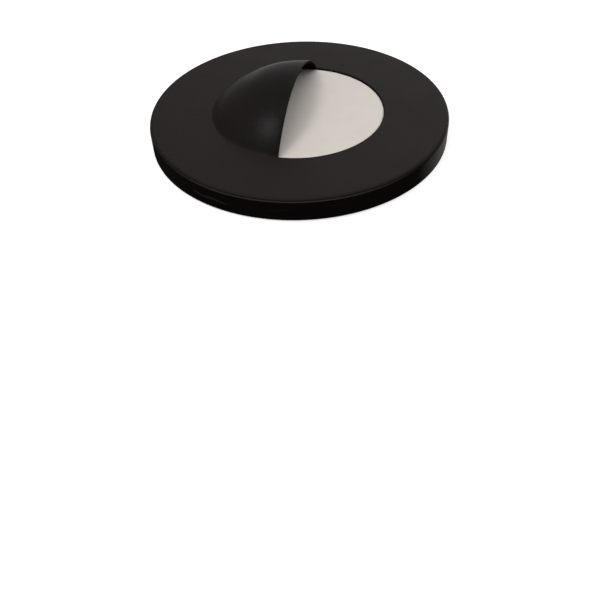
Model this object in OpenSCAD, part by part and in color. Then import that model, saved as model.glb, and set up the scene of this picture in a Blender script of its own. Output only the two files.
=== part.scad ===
// Slim round puck light with a turning eyelid trim.
// The origin is at the centre of the back face, which lies on the wall, and +Z points out of the light.
// The hood covers the +Y half of the opening, so the light leaves towards -Y.

/* [Trim] */
// Outside diameter of the trim's skirt
trim_d = 76; // [70:0.5:90]
// Thickness of the pressed steel sheet
sheet = 0.6; // [0.5:0.05:0.8]
// Outside radius of the rolled edge between face and skirt
edge_r = 1; // [0.9:0.1:1.4]
// Gap between the skirt's lower edge and the wall
skirt_gap = 0.3; // [0.2:0.1:0.6]
// Width of the face ring, from the round opening to the trim's outside
ring_w = 16.25; // [15.5:0.25:18]
// Gap between the turning skirt and the body inside it
turn_gap = 0.3; // [0.2:0.05:0.5]

/* [Hood] */
// Height of the hood's crown above the face
hood_rise = 9.55; // [8:0.05:11]
// How far the hood's foot stands outside the opening's edge
hood_foot = 0.35; // [0.25:0.05:0.8]
// Radius of the blend between the hood's foot and the face
foot_blend = 0.4; // [0.3:0.1:0.8]

/* [Lens] */
// How far the lens face lies below the trim's face
lens_recess = 0.45; // [0.3:0.05:0.8]
// Gap between the lens and the opening's edge
lens_gap = 0.35; // [0.25:0.05:0.6]
// Thickness of the lens face and of its side wall
lens_wall = 1.2; // [1:0.1:1.5]
// Radius of the lens face's outer edge
lens_edge_r = 0.3; // [0.2:0.1:0.6]
// Width of the lens flange
flange_w = 2.2; // [1.8:0.1:2.6]
// Thickness of the lens flange
flange_t = 1; // [0.8:0.1:1.4]
// Thickness of the foam gasket on the flange
gasket_t = 0.2; // [0.15:0.05:0.4]

/* [Light guide] */
// Thickness of the clear light guide
guide_t = 1.8; // [1.5:0.1:2.4]
// Thickness of the white film behind the guide
film_t = 0.2; // [0.1:0.05:0.3]

/* [Light engine] */
// Number of LEDs round the guide
led_count = 18; // [12:1:20]
// Length of one LED package along the rim
led_w = 2.8; // [2:0.1:3.2]
// Depth of one LED package, away from the rim
led_depth = 1.2; // [0.8:0.1:1.4]
// Height of one LED package above the board
led_h = 0.9; // [0.6:0.05:1]
// Air gap between the LEDs and the guide's rim
led_gap = 0.3; // [0.2:0.05:0.5]
// Gap between the guide's rim and the board's inner edge
board_gap = 0.2; // [0.15:0.05:0.3]
// Distance between the board's outer edge and the frame's outer rim
board_margin = 4.4; // [4:0.1:5]
// Thickness of the circuit board
board_t = 0.8; // [0.6:0.1:1]
// Thickness of the heat-conducting tape under the board
tape_t = 0.15; // [0.1:0.05:0.25]

/* [Body] */
// Thickness of the pan's floor
floor_t = 1; // [0.8:0.1:1.6]
// Thickness of the pan's wall
pan_wall = 1.2; // [1:0.1:1.4]
// Bevel on the pan's back edge
back_bevel = 0.3; // [0.2:0.1:0.5]
// Thickness of the frame's top plate
plate_t = 1.1; // [0.9:0.1:1.4]
// How much larger the radius of the frame's outer edge is than the inside of the trim's bend
edge_room = 0.1; // [0.1:0.05:0.3]
// Thickness of the rims under the frame's plate
rim_t = 0.9; // [0.7:0.1:1.1]
// Depth of the collars under the frame's plate, which sit on the pan's posts
collar_h = 1; // [0.7:0.1:1.2]
// Height and thickness of the frame's ribs
rib = 0.8; // [0.6:0.1:0.9]
// Number of ribs
rib_count = 12; // [12:12:24]
// Easy clearance between pieces that stay still
fit_gap = 0.1; // [0.05:0.05:0.15]

/* [Fixing holes] */
// Diameter of the holes for the wall screws
hole_d = 3.5; // [3:0.1:4]
// Diameter of the countersink for the wall screws' heads
head_d = 6.6; // [5.5:0.1:7]
// Wall of the boss round the countersink
boss_wall = 1.3; // [1:0.1:1.5]
// Height of the boss above the pan's floor
boss_h = 1.8; // [1.6:0.1:2]

/* [Frame screws] */
// Shank diameter of the screws between frame and pan
screw_d = 1.6; // [1.4:0.1:2]
// Head diameter of those screws
screw_head_d = 3.4; // [3:0.1:3.8]
// Head height of those screws
screw_head_h = 0.8; // [0.6:0.1:0.9]
// Length of those screws under the head
screw_l = 3.2; // [2.6:0.1:3.6]
// Wall of the post that takes the screw
post_wall = 1.5; // [1.2:0.1:1.7]

/* [Magnets] */
// Diameter of the magnets
magnet_d = 6; // [5:0.5:7]
// Thickness of the magnets
magnet_t = 2; // [1.5:0.1:2.2]
// How far the magnets stand out of the frame
magnet_proud = 0.1; // [0.05:0.05:0.2]
// Wall and floor of the cup that holds a magnet
cup_wall = 0.8; // [0.6:0.1:1]
// Floor under the magnet
cup_floor = 0.4; // [0.3:0.1:0.6]

/* [Socket] */
// Width of the inlet socket
socket_w = 7.4; // [6.6:0.1:8]
// Depth of the inlet socket, away from the centre
socket_d = 4.4; // [4:0.1:4.6]
// Wall of the inlet socket
socket_wall = 0.7; // [0.5:0.1:0.8]
// Roof of the inlet socket
socket_roof = 0.8; // [0.7:0.1:1]
// Distance between the two pins
pin_pitch = 2.5; // [2:0.1:2.6]
// Width and height of the square pins
pin = 0.5; // [0.4:0.05:0.6]

/* [Hidden] */
$fn = 96;
cut = 0.01;

// Everything that repeats stands on this grid of stations round the axis
fixing_angles = [90, 210, 330];
screw_angles = [0, 120, 240];
magnet_angles = [30, 150, 270];
socket_angle = 180;
first_rib_angle = 15;
string_angle = 45;
string_count = 6;

LEDS = [for (i = [1:led_count]) str("led_", i)];
RESISTORS = [for (i = [1:string_count]) str("resistor_", i)];
MAGNETS = [for (i = [1:len(magnet_angles)]) str("magnet_", i)];

// Radii, from the skirt inwards
trim_r = trim_d / 2;
pan_r = trim_r - sheet - turn_gap;
pan_in_r = pan_r - pan_wall;
rim_out_r = pan_in_r - fit_gap;
rim_in_r = rim_out_r - rim_t;
board_out_r = rim_in_r - board_margin;

// Radii, from the opening outwards
opening_r = trim_r - ring_w;
lens_r = opening_r - lens_gap;
guide_r = lens_r + flange_w;
board_in_r = guide_r + board_gap;
led_r = guide_r + led_gap;
skirt_in_r = guide_r + board_gap;

// Heights, from the wall outwards
film_z = floor_t;
guide_z = film_z + film_t;
flange_z = guide_z + guide_t;
gasket_z = flange_z + flange_t;
plate_z = gasket_z + gasket_t;
plate_top = plate_z + plate_t;
trim_z = plate_top + magnet_proud;
face_z = trim_z + sheet;
lens_top = face_z - lens_recess;
board_z = floor_t + tape_t;
board_top = board_z + board_t;
led_top = board_top + led_h;

// The hood is half of a spherical cap: its sphere, from the foot's radius and the crown's height
hood_foot_r = opening_r + hood_foot;
hood_r = (hood_foot_r * hood_foot_r + hood_rise * hood_rise) / (2 * hood_rise);
hood_z = face_z + hood_rise - hood_r;

// Bosses and posts bite this far into the pan's wall
bite = 0.2;
// Cups and collars end this far inside the rim's outer face
cup_inset = 0.3;
// Distance between a piece on the board and what it is kept clear of
clear = 0.3;

boss_r = head_d / 2 + boss_wall;
fixing_r = pan_in_r - boss_r + bite;
boss_z = floor_t + boss_h;
access_r = head_d / 2 + clear;

screw_r = screw_d / 2;
post_r = screw_r + post_wall;
screw_ring_r = pan_in_r - post_r + bite;
post_z = plate_z - collar_h;
// The outer rim is a little shallower than the collars, so the frame sits on its collars alone
rim_z = post_z + fit_gap;
plate_edge_r = edge_r - sheet + edge_room;
seat_z = plate_top - screw_head_h - fit_gap;
collar_r = post_r + clear;
collar_ring_r = rim_out_r - collar_r - cup_inset;
pilot_gap = 0.05;
screw_end = seat_z - screw_l;
drive_l = 2;
drive_w = 0.5;
drive_depth = 0.4;

magnet_r = magnet_d / 2;
cup_r = magnet_r + cup_wall;
magnet_ring_r = rim_out_r - cup_r - cup_inset;
magnet_z = trim_z - magnet_t;

socket_z = 0.1;
socket_top = plate_z - clear;
socket_ring_r = rim_in_r - clear - socket_d / 2;
pin_gap = 0.02;
pin_tip_depth = 0.6;
pad_reach = 1.3;
pin_tip_z = socket_z + pin_tip_depth;
pin_bend_z = socket_top - (socket_roof + pin) / 2;
pad_r = socket_ring_r - socket_d / 2 - pad_reach;

// Sizes of the parts on the board: along the ring, across it, and up
resistor = [2, 1.2, 0.5];
diode = [2.7, 1.6, 1.1];
capacitor = [3.2, 1.6, 1.5];
parts_inset = 2.5;
parts_r = board_out_r - parts_inset;
diode_angle = 171;
capacitor_angle = 190;

// Puts its child at each angle on a circle about the axis
module around(angles, r) {
    for (a = angles) rotate([0, 0, a]) translate([r, 0, 0]) children();
}

// A ring from z upwards
module ring(r_out, r_in, z, h) {
    translate([0, 0, z]) difference() {
        cylinder(r = r_out, h = h);
        translate([0, 0, -cut]) cylinder(r = r_in, h = h + 2 * cut);
    }
}

// A block at r on the x axis: w along the ring, d across it, h up
module block(r, z, w, d, h) {
    translate([r - d / 2, -w / 2, z]) cube([d, w, h]);
}

// The half space that the hood covers, as a box
module hood_side() {
    translate([-trim_r, 0, 0]) cube([2 * trim_r, 2 * trim_r, 2 * trim_r]);
}

// Section of the trim's face, rolled edge and skirt
module trim_section() {
    inner_r = edge_r - sheet;
    difference() {
        union() {
            translate([0, skirt_gap]) square([trim_r, face_z - edge_r - skirt_gap]);
            square([trim_r - edge_r, face_z]);
            translate([trim_r - edge_r, face_z - edge_r]) circle(r = edge_r);
        }
        translate([-cut, -cut]) square([trim_r - edge_r + cut, trim_z + cut]);
        translate([-cut, -cut]) square([trim_r - sheet + cut, face_z - edge_r + cut]);
        translate([trim_r - edge_r, face_z - edge_r]) circle(r = inner_r);
        translate([-cut, -cut]) square([opening_r + cut, face_z + 1]);
    }
}

// Section of the blend between the face and the hood's foot
module foot_section() {
    // Centre of the blend's circle: foot_blend above the face, and foot_blend outside the hood's sphere
    up = face_z + foot_blend;
    out = sqrt(pow(hood_r + foot_blend, 2) - pow(up - hood_z, 2));
    // Where the blend touches the sphere
    touch = hood_r / (hood_r + foot_blend);
    difference() {
        polygon([
            [hood_foot_r - sheet / 2, face_z - sheet / 2],
            [out, face_z - sheet / 2],
            [out, face_z],
            [out * touch, hood_z + (up - hood_z) * touch],
            [out * touch - sheet / 2, hood_z + (up - hood_z) * touch]
        ]);
        translate([out, up]) circle(r = foot_blend);
    }
}

// Face ring, skirt and hood, pressed from one sheet
module eyelid_trim() {
    color([0.09, 0.09, 0.09]) difference() {
        union() {
            rotate_extrude() trim_section();
            intersection() {
                translate([0, 0, hood_z]) sphere(r = hood_r);
                translate([0, 0, trim_z]) hood_side();
            }
            rotate_extrude(angle = 180) foot_section();
        }
        intersection() {
            translate([0, 0, hood_z]) sphere(r = hood_r - sheet);
            hood_side();
        }
    }
}

// Section of the lens: flange, side wall and face, with a rounded outer edge
module lens_section() {
    difference() {
        union() {
            translate([0, flange_z]) square([guide_r, flange_t]);
            translate([0, flange_z]) square([lens_r, lens_top - lens_edge_r - flange_z]);
            translate([0, flange_z]) square([lens_r - lens_edge_r, lens_top - flange_z]);
            translate([lens_r - lens_edge_r, lens_top - lens_edge_r]) circle(r = lens_edge_r);
        }
        translate([-cut, flange_z - cut])
            square([lens_r - lens_wall + cut, lens_top - lens_wall - flange_z + cut]);
    }
}

module lens() {
    color([0.9, 0.88, 0.86]) rotate_extrude() lens_section();
}

module lens_gasket() {
    color([0.2, 0.2, 0.2]) ring(guide_r, opening_r, gasket_z, gasket_t);
}

module light_guide() {
    color([0.8, 0.9, 0.95]) translate([0, 0, guide_z]) cylinder(r = guide_r, h = guide_t);
}

module reflector_film() {
    color([0.97, 0.97, 0.97]) translate([0, 0, film_z]) cylinder(r = guide_r, h = film_t);
}

// Section of the pan's floor and wall
module pan_section() {
    polygon([
        [0, 0],
        [pan_r - back_bevel, 0],
        [pan_r, back_bevel],
        [pan_r, plate_z],
        [pan_in_r, plate_z],
        [pan_in_r, floor_t],
        [0, floor_t]
    ]);
}

// Hole and countersink for one wall screw
module fixing_hole() {
    sink = (head_d - hole_d) / 2;
    translate([0, 0, -cut]) cylinder(d = hole_d, h = boss_z + 2 * cut);
    translate([0, 0, boss_z - sink]) cylinder(d1 = hole_d, d2 = head_d, h = sink);
    translate([0, 0, boss_z - cut]) cylinder(d = head_d, h = clear);
}

module base_pan() {
    color([0.72, 0.73, 0.75]) difference() {
        union() {
            rotate_extrude() pan_section();
            around(fixing_angles, fixing_r) cylinder(r = boss_r, h = boss_z);
            around(screw_angles, screw_ring_r) cylinder(r = post_r, h = post_z);
        }
        around(fixing_angles, fixing_r) fixing_hole();
        around(screw_angles, screw_ring_r)
            translate([0, 0, screw_end - clear]) cylinder(r = screw_r + pilot_gap, h = post_z);
        around([socket_angle], 0)
            block(socket_ring_r, -cut, socket_w + 2 * fit_gap, socket_d + 2 * fit_gap, floor_t + 2 * cut);
    }
}

// Section of the frame's plate, with a rounded outer edge
module plate_section() {
    translate([opening_r, plate_z]) square([pan_r - opening_r, plate_t - plate_edge_r]);
    translate([opening_r, plate_z]) square([pan_r - plate_edge_r - opening_r, plate_t]);
    translate([pan_r - plate_edge_r, plate_top - plate_edge_r]) circle(r = plate_edge_r);
}

// What hangs under the frame's plate
module under_plate() {
    ring(rim_out_r, rim_in_r, rim_z, plate_z - rim_z + cut);
    ring(skirt_in_r + rim_t, skirt_in_r, led_top + fit_gap, plate_z - led_top - fit_gap + cut);
    around(magnet_angles, magnet_ring_r) translate([0, 0, magnet_z - cup_floor])
        cylinder(r = cup_r, h = plate_z - magnet_z + cup_floor + cut);
    around(screw_angles, collar_ring_r) translate([0, 0, post_z])
        cylinder(r = collar_r, h = collar_h + cut);
    rib_l = rim_in_r - skirt_in_r;
    around([for (i = [0:rib_count - 1]) first_rib_angle + i * 360 / rib_count], 0)
        block(skirt_in_r + rim_t / 2 + rib_l / 2, plate_z - rib, rib, rib_l, rib + cut);
}

module front_frame() {
    color([0.15, 0.15, 0.16]) difference() {
        union() {
            rotate_extrude() plate_section();
            under_plate();
        }
        around(magnet_angles, magnet_ring_r) translate([0, 0, magnet_z])
            cylinder(r = magnet_r + pilot_gap, h = plate_top);
        around(fixing_angles, fixing_r)
            translate([0, 0, post_z - clear]) cylinder(r = access_r, h = plate_top);
        around(screw_angles, screw_ring_r) {
            cylinder(r = screw_r + fit_gap, h = plate_top);
            translate([0, 0, seat_z]) cylinder(r = screw_head_d / 2 + fit_gap, h = plate_top);
        }
    }
}

// One screw: pan head with a cross recess, and a plain shank
module frame_screw() {
    difference() {
        union() {
            translate([0, 0, seat_z]) cylinder(r = screw_head_d / 2, h = screw_head_h);
            translate([0, 0, screw_end]) cylinder(r = screw_r, h = screw_l + cut);
        }
        for (a = [0, 90]) rotate([0, 0, a])
            block(0, seat_z + screw_head_h - drive_depth, drive_l, drive_w, drive_depth + cut);
    }
}

module frame_screws() {
    color([0.6, 0.6, 0.62]) around(screw_angles, screw_ring_r) frame_screw();
}

// What the board and its tape leave room for
module board_cuts() {
    around(fixing_angles, fixing_r) cylinder(r = boss_r + clear, h = plate_z);
    around(screw_angles, screw_ring_r) cylinder(r = post_r + fit_gap, h = plate_z);
    around([socket_angle], 0) block(socket_ring_r, 0, socket_w + 2 * clear, socket_d + 2 * clear, plate_z);
}

module led_board() {
    color([0.93, 0.93, 0.9]) difference() {
        ring(board_out_r, board_in_r, board_z, board_t);
        board_cuts();
    }
}

module thermal_tape() {
    color([0.75, 0.75, 0.85]) difference() {
        ring(board_out_r, board_in_r, floor_t, tape_t);
        board_cuts();
    }
}

// One LED package, with its window sunk into the face towards the guide
module led(i) {
    window = 0.15;
    step = 360 / led_count;
    color([0.95, 0.93, 0.8]) rotate([0, 0, (i - 0.5) * step]) difference() {
        block(led_r + led_depth / 2, board_top, led_w, led_depth, led_h);
        block(led_r, board_top + window, led_w - 2 * window, 2 * window, led_h - 2 * window);
    }
}

// One chip on the board
module chip(angle, size) {
    rotate([0, 0, angle]) block(parts_r, board_top, size.x, size.y, size.z);
}

module resistor_chip(i) {
    color([0.12, 0.12, 0.12]) chip(string_angle + (i - 1) * 360 / string_count, resistor);
}

module input_diode() {
    color([0.1, 0.1, 0.1]) chip(diode_angle, diode);
}

module input_capacitor() {
    color([0.7, 0.55, 0.4]) chip(capacitor_angle, capacitor);
}

// Path of one pin: up in the socket, along its roof to the board's side, and down to its pad
module pin_path(side, grow) {
    w = pin + 2 * grow;
    y = side * pin_pitch / 2;
    translate([0, y, 0]) {
        block(socket_ring_r, pin_tip_z - grow, w, w, pin_bend_z + pin - pin_tip_z + 2 * grow);
        translate([pad_r - w / 2, -w / 2, pin_bend_z - grow])
            cube([socket_ring_r - pad_r + w, w, w]);
        block(pad_r, board_top - grow, w, w, pin_bend_z + pin - board_top + 2 * grow);
    }
}

module socket_pin(side) {
    color([0.8, 0.78, 0.7]) rotate([0, 0, socket_angle]) pin_path(side, 0);
}

module socket_shell() {
    color([0.9, 0.88, 0.8]) rotate([0, 0, socket_angle]) difference() {
        block(socket_ring_r, socket_z, socket_w, socket_d, socket_top - socket_z);
        block(
            socket_ring_r, socket_z - cut, socket_w - 2 * socket_wall, socket_d - 2 * socket_wall,
            socket_top - socket_roof - socket_z
        );
        for (side = [-1, 1]) pin_path(side, pin_gap);
    }
}

module magnet(i) {
    color([0.75, 0.75, 0.78]) around([magnet_angles[i - 1]], magnet_ring_r)
        translate([0, 0, magnet_z]) cylinder(r = magnet_r, h = magnet_t);
}

eyelid_trim();
lens();
base_pan();
front_frame();
lens_gasket();
light_guide();
reflector_film();
led_board();
thermal_tape();
for (i = [1:led_count]) led(i);
for (i = [1:string_count]) resistor_chip(i);
input_diode();
input_capacitor();
socket_shell();
socket_pin(-1);  // socket_pin_1
socket_pin(1);  // socket_pin_2
for (i = [1:len(magnet_angles)]) magnet(i);
frame_screws();
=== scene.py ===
# %% [markdown]
# # A slim puck light with an eyelid hood
# The object is a round light, 76 mm across and 15.55 mm tall, that is screwed to a wall or a step.
# One pressed sheet of black steel makes its face, its skirt and its hood. The hood is half of a shallow
# dome over half of a round opening, and a flat opal lens shines in the other half.
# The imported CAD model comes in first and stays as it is. Every piece made here is fitted to it.

import math

import bmesh
import bpy
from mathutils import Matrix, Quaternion, Vector


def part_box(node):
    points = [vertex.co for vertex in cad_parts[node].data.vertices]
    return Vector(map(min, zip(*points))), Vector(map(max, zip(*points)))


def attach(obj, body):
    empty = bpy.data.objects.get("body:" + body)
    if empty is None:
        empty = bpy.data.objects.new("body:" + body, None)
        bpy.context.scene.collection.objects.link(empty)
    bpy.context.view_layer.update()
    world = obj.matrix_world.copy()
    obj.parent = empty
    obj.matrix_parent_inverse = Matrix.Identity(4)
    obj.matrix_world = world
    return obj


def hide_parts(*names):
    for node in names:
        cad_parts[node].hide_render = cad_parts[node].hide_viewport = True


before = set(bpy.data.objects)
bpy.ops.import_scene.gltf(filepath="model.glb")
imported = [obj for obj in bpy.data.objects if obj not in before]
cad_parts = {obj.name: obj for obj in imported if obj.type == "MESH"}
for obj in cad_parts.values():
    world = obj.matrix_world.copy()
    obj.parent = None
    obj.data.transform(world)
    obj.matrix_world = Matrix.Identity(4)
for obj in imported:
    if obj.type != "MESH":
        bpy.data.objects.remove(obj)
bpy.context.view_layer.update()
MM = 0.001

# %% [markdown]
# ## Camera
# The light lies on its back and is seen from the side of its hood, from about 32 degrees above the
# floor. Three plain facts place the camera: where it stands, what point of the floor it looks at, and how
# far it is rolled. It looks at the floor in front of the object, which so sits high in the frame.

# %% Camera
CAMERA_AT = Vector((-162.87, -40.55, 105.59)) * MM
LOOKS_AT = Vector((-61.27, -14.10, 0.0)) * MM
ROLL = math.radians(-2.466)
PIXELS, FOCAL_PIXELS, SENSOR = 600, 739.5, 36
NEAREST, FARTHEST = 1 * MM, 10

camera_data = bpy.data.cameras.new("camera")
camera_data.sensor_width = SENSOR
camera_data.lens = FOCAL_PIXELS / PIXELS * SENSOR
camera_data.clip_start = NEAREST
camera_data.clip_end = FARTHEST
camera = bpy.data.objects.new("camera", camera_data)
bpy.context.scene.collection.objects.link(camera)
camera.location = CAMERA_AT
camera.rotation_mode = "QUATERNION"
aim = (LOOKS_AT - CAMERA_AT).to_track_quat("-Z", "Y")
camera.rotation_quaternion = aim @ Quaternion((0, 0, 1), ROLL)
bpy.context.scene.camera = camera
print("lens in mm:", round(camera_data.lens, 2))

# %% [markdown]
# ## Writing a material
# A material is a graph of nodes. Wiring dozens of them by hand hides the idea behind the plumbing, so
# small classes do it. A `Wire` is the output of a node, and sums on wires add Math nodes, so a mask can
# be written as `1 - scratches * 0.5`.

# %% Wires
class Wire:
    """The output of a shader node, which can be used in sums."""

    def __init__(self, graph, socket):
        self.graph = graph
        self.socket = socket

    def __add__(self, other):
        return self.graph.maths("ADD", self, other)

    def __sub__(self, other):
        return self.graph.maths("SUBTRACT", self, other)

    def __rsub__(self, other):
        return self.graph.maths("SUBTRACT", other, self)

    def __mul__(self, other):
        return self.graph.maths("MULTIPLY", self, other)

    def __gt__(self, other):
        return self.graph.maths("GREATER_THAN", self, other)

    def __lt__(self, other):
        return self.graph.maths("LESS_THAN", self, other)


print("sums ready: + - * > <")

# %% [markdown]
# A `Graph` holds the nodes of one material or of the room. All nodes come from `add`, and steps that
# are used often have short names of their own.

# %% Graphs
class Graph:
    """The nodes of a material or of the world."""

    def __init__(self, owner):
        owner.use_nodes = True
        self.tree = owner.node_tree
        self.tree.nodes.clear()

    def add(self, kind, settings=None, values=None, out=0):
        """Adds a node: its settings first, then the values or wires of its sockets."""
        node = self.tree.nodes.new("ShaderNode" + kind)
        for name, value in (settings or {}).items():
            setattr(node, name, value)
        for name, value in (values or {}).items():
            if isinstance(value, Wire):
                self.tree.links.new(value.socket, node.inputs[name])
            else:
                node.inputs[name].default_value = value
        return Wire(self, node.outputs[out]) if len(node.outputs) else node

    def maths(self, operation, *values):
        """A Math node."""
        return self.add("Math", {"operation": operation}, dict(enumerate(values)))

    def spread(self, wire, low, high, to_low=0.0, to_high=1.0):
        """Stretches the part of a value from low to high over to_low to to_high."""
        values = {0: wire, 1: low, 2: high, 3: to_low, 4: to_high}
        return self.add("MapRange", {"clamp": True}, values)

    def most(self, first, second):
        """The larger of two values."""
        return self.maths("MAXIMUM", first, second)

    def size_of(self, wire):
        """A value without its sign."""
        return self.maths("ABSOLUTE", wire)

    def parts(self, vector):
        """The x, y and z of a vector."""
        return [self.add("SeparateXYZ", values={0: vector}, out=name) for name in "XYZ"]

    def seen_rays(self):
        """1 for rays from the camera, and for rays that see the studio in gloss or through glass."""
        seen = self.add("LightPath", out="Is Camera Ray")
        for kind in ("Is Glossy Ray", "Is Transmission Ray"):
            seen = self.most(seen, self.add("LightPath", out=kind))
        return seen


print("steps ready: maths, spread, most, size_of, parts, seen_rays")

# %% [markdown]
# A `Finish` is the graph of one material. Its patterns are made from Object coordinates, the place in the
# piece's own space, so they lie still on the piece when it turns.

# %% Finishes
class Finish(Graph):
    """One material, made from patterns, colours and a shader."""

    def __init__(self, name):
        self.material = bpy.data.materials.new(name)
        super().__init__(self.material)
        self.place = self.add("TexCoord", out="Object")

    def noise(self, size, detail=2.0, rough=0.5, where=None):
        """Soft noise from 0 to 1, whose lumps are about `size` metres across."""
        values = {"Vector": where or self.place, "Scale": 1 / size, "Detail": detail,
                  "Roughness": rough}
        return self.add("TexNoise", values=values, out="Fac")

    def cells(self, size):
        """Small cells, whose value is the distance from their middle, from 0 to about 1."""
        values = {"Vector": self.place, "Scale": 1 / size}
        return self.add("TexVoronoi", values=values, out="Distance")

    def scaled(self, vector, by):
        """A vector, each part multiplied by its own number."""
        return self.add("VectorMath", {"operation": "MULTIPLY"}, {0: vector, 1: by})

    def radius(self):
        """The distance from the middle axis."""
        flat = self.scaled(self.place, (1, 1, 0))
        return self.add("VectorMath", {"operation": "LENGTH"}, {0: flat}, out="Value")

    def along_ring(self, first, count=1):
        """The way round the ring from the nearest of `count` equal stations, plus or minus."""
        x, y = self.parts(self.place)[:2]
        step = 2 * math.pi / count
        turned = self.maths("ARCTAN2", y, x) - (first - step / 2)
        rest = self.maths("FLOORED_MODULO", turned, step)
        return (rest - step / 2) * self.radius()

    def near(self, wire, middle, half, soft):
        """1 where a value is within `half` of `middle`, with a soft edge."""
        return self.spread(self.size_of(wire - middle), half, half + soft, 1.0, 0.0)

    def squeezed(self, along, upward):
        """The place in units of `along` across and `upward` in height, for lines round a wall."""
        return self.scaled(self.place, (1 / along, 1 / along, 1 / upward))

    def streaks(self, along, across):
        """The place in long narrow units that lie slanting, for scratches on a flat face."""
        slant = {0: self.place, "Angle": 0.6}
        turned = self.add("VectorRotate", {"rotation_type": "Z_AXIS"}, slant)
        return self.scaled(turned, (1 / along, 1 / across, 1 / across))

    def blend(self, factor, first, second):
        """A colour between two colours."""
        values = {0: factor, 6: first, 7: second}
        return self.add("Mix", {"data_type": "RGBA"}, values, out=2)

    def bump(self, height, metres, strength=1.0):
        """A bump whose full height is `metres`."""
        values = {"Height": height, "Distance": metres, "Strength": strength}
        return self.add("Bump", values=values)

    def shader(self, **values):
        """The Principled shader. Socket names have _ for a space."""
        named = {name.replace("_", " "): value for name, value in values.items()}
        return self.add("BsdfPrincipled", values=named)

    def made(self, shader):
        """The finished material."""
        self.add("OutputMaterial", values={"Surface": shader})
        return self.material

    def surface(self, **values):
        """A finished material of one Principled shader."""
        return self.made(self.shader(**values))


def grey(value, warm=0.0):
    """A neutral colour, a little warmer or cooler."""
    return (value * (1 + warm), value, value * (1 - warm), 1)


print("patterns ready: noise, cells, radius, along_ring, near, squeezed, streaks")

# %% [markdown]
# ## Floor, backdrop and lamps
# The object lies on a plain white sweep. The camera sees it white, with the soft shadow of the object.
# The object sees a dim floor, as in a studio lit from overhead, so the black skirt stays black. The
# floor can be looked through from below and is open under the pan, so the back is seen and lit too.

# %% Floor
FLOOR_R = 1.6
FLOOR_OPEN_R = 36.9 * MM
FLOOR_WHITE, FLOOR_DIM = 0.8, 0.1
GLOW_START, GLOW_END = 0.15, 0.9
GLOW_NEAR, GLOW_FAR = 0.6, 0.9


def face_outwards():
    """Turns all faces of a piece the same way, which is outwards where it is closed."""
    bpy.ops.mesh.select_mode(type="FACE")
    bpy.ops.mesh.select_all(action="SELECT")
    bpy.ops.mesh.normals_make_consistent(inside=False)


def face_upwards():
    """The same for an open sheet, which then looks up on the whole."""
    face_outwards()
    mesh = bmesh.from_edit_mesh(bpy.context.edit_object.data)
    if sum(face.normal.z for face in mesh.faces) < 0:
        bpy.ops.mesh.flip_normals()


def white_sweep():
    finish = Finish("white_sweep")
    far = finish.spread(finish.radius(), GLOW_START, GLOW_END)
    glow_tone = finish.blend(far, grey(GLOW_NEAR), grey(GLOW_FAR))
    lit = finish.add("BsdfDiffuse", values={"Color": grey(FLOOR_WHITE)})
    glow = finish.add("Emission", values={"Color": glow_tone})
    shown = finish.add("AddShader", values={0: lit, 1: glow})
    dim = finish.add("BsdfDiffuse", values={"Color": grey(FLOOR_DIM)})
    above = finish.add("MixShader", values={0: finish.seen_rays(), 1: dim, 2: shown})
    from_below = finish.add("NewGeometry", out="Backfacing")
    open_below = finish.add("BsdfTransparent")
    return finish.made(finish.add("MixShader", values={0: from_below, 1: above, 2: open_below}))


bpy.ops.mesh.primitive_circle_add(vertices=96, radius=FLOOR_R, fill_type="NOTHING", location=(0, 0, 0))
floor = bpy.context.object
floor.name = "floor"
bpy.ops.object.mode_set(mode="EDIT")
bpy.ops.mesh.select_all(action="SELECT")
bpy.ops.mesh.extrude_region_move()
open_share = FLOOR_OPEN_R / FLOOR_R
bpy.ops.transform.resize(value=(open_share, open_share, 1), center_override=(0, 0, 0))
face_upwards()
bpy.ops.object.mode_set(mode="OBJECT")
floor.data.materials.append(white_sweep())
print("floor ready, open under the pan by mm:", FLOOR_OPEN_R / MM)

# %% [markdown]
# The black paint shows what stands round it. One upright white sheet stands behind the light, seen from
# the camera, and fades to both sides and upwards, and a dim ceiling lies over everything. The paint and
# the lens see these only in gloss. For all other rays the room is one weak even grey. Below the floor a
# soft white wall stands on one side, so the metal back has something to reflect.

# %% Room
SHEET_BEARING, SHEET_HALF, SHEET_END = math.radians(-5), math.radians(15), math.radians(45)
SHEET_WHITE, SHEET_DIM = 0.9, 0.1
SHEET_FADES, SHEET_TOP, SHEET_LEFT = 0.6, 0.9, 0.1
CEILING_START, CEILING_FULL, CEILING_DIM, CEILING_WHITE = 0.1, 0.6, 0.05, 0.35
WALL_TOP, WALL_DIM, WALL_WHITE = -0.01, 0.15, 0.95
ROOM_GREY = 0.22

world = bpy.data.worlds.new("studio")
bpy.context.scene.world = world
sky = Graph(world)
east, north, height = sky.parts(sky.add("TexCoord", out="Generated"))
bearing = sky.maths("ARCTAN2", north, east)
from_sheet = sky.size_of(bearing - SHEET_BEARING)
sheet = sky.spread(from_sheet, SHEET_HALF, SHEET_END, SHEET_WHITE, SHEET_DIM)
sheet = sheet * sky.spread(height, SHEET_FADES, SHEET_TOP, 1.0, SHEET_LEFT)
ceiling = sky.spread(height, CEILING_START, CEILING_FULL, CEILING_DIM, CEILING_WHITE)
wall_below = (height < WALL_TOP) * sky.spread(east, -1.0, 1.0, WALL_DIM, WALL_WHITE)
backdrop = sky.most(sky.most(sheet, ceiling), wall_below)
backdrop = sky.most(backdrop, sky.add("LightPath", out="Is Camera Ray"))
shown = {0: sky.seen_rays(), 2: ROOM_GREY, 3: backdrop}
strength = sky.add("Mix", {"data_type": "FLOAT"}, shown)
glow = sky.add("Background", values={"Color": grey(1.0), "Strength": strength})
sky.add("OutputWorld", values={"Surface": glow})
bpy.context.scene.view_settings.view_transform = "Standard"
print("nodes in the room:", len(world.node_tree.nodes))

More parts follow.
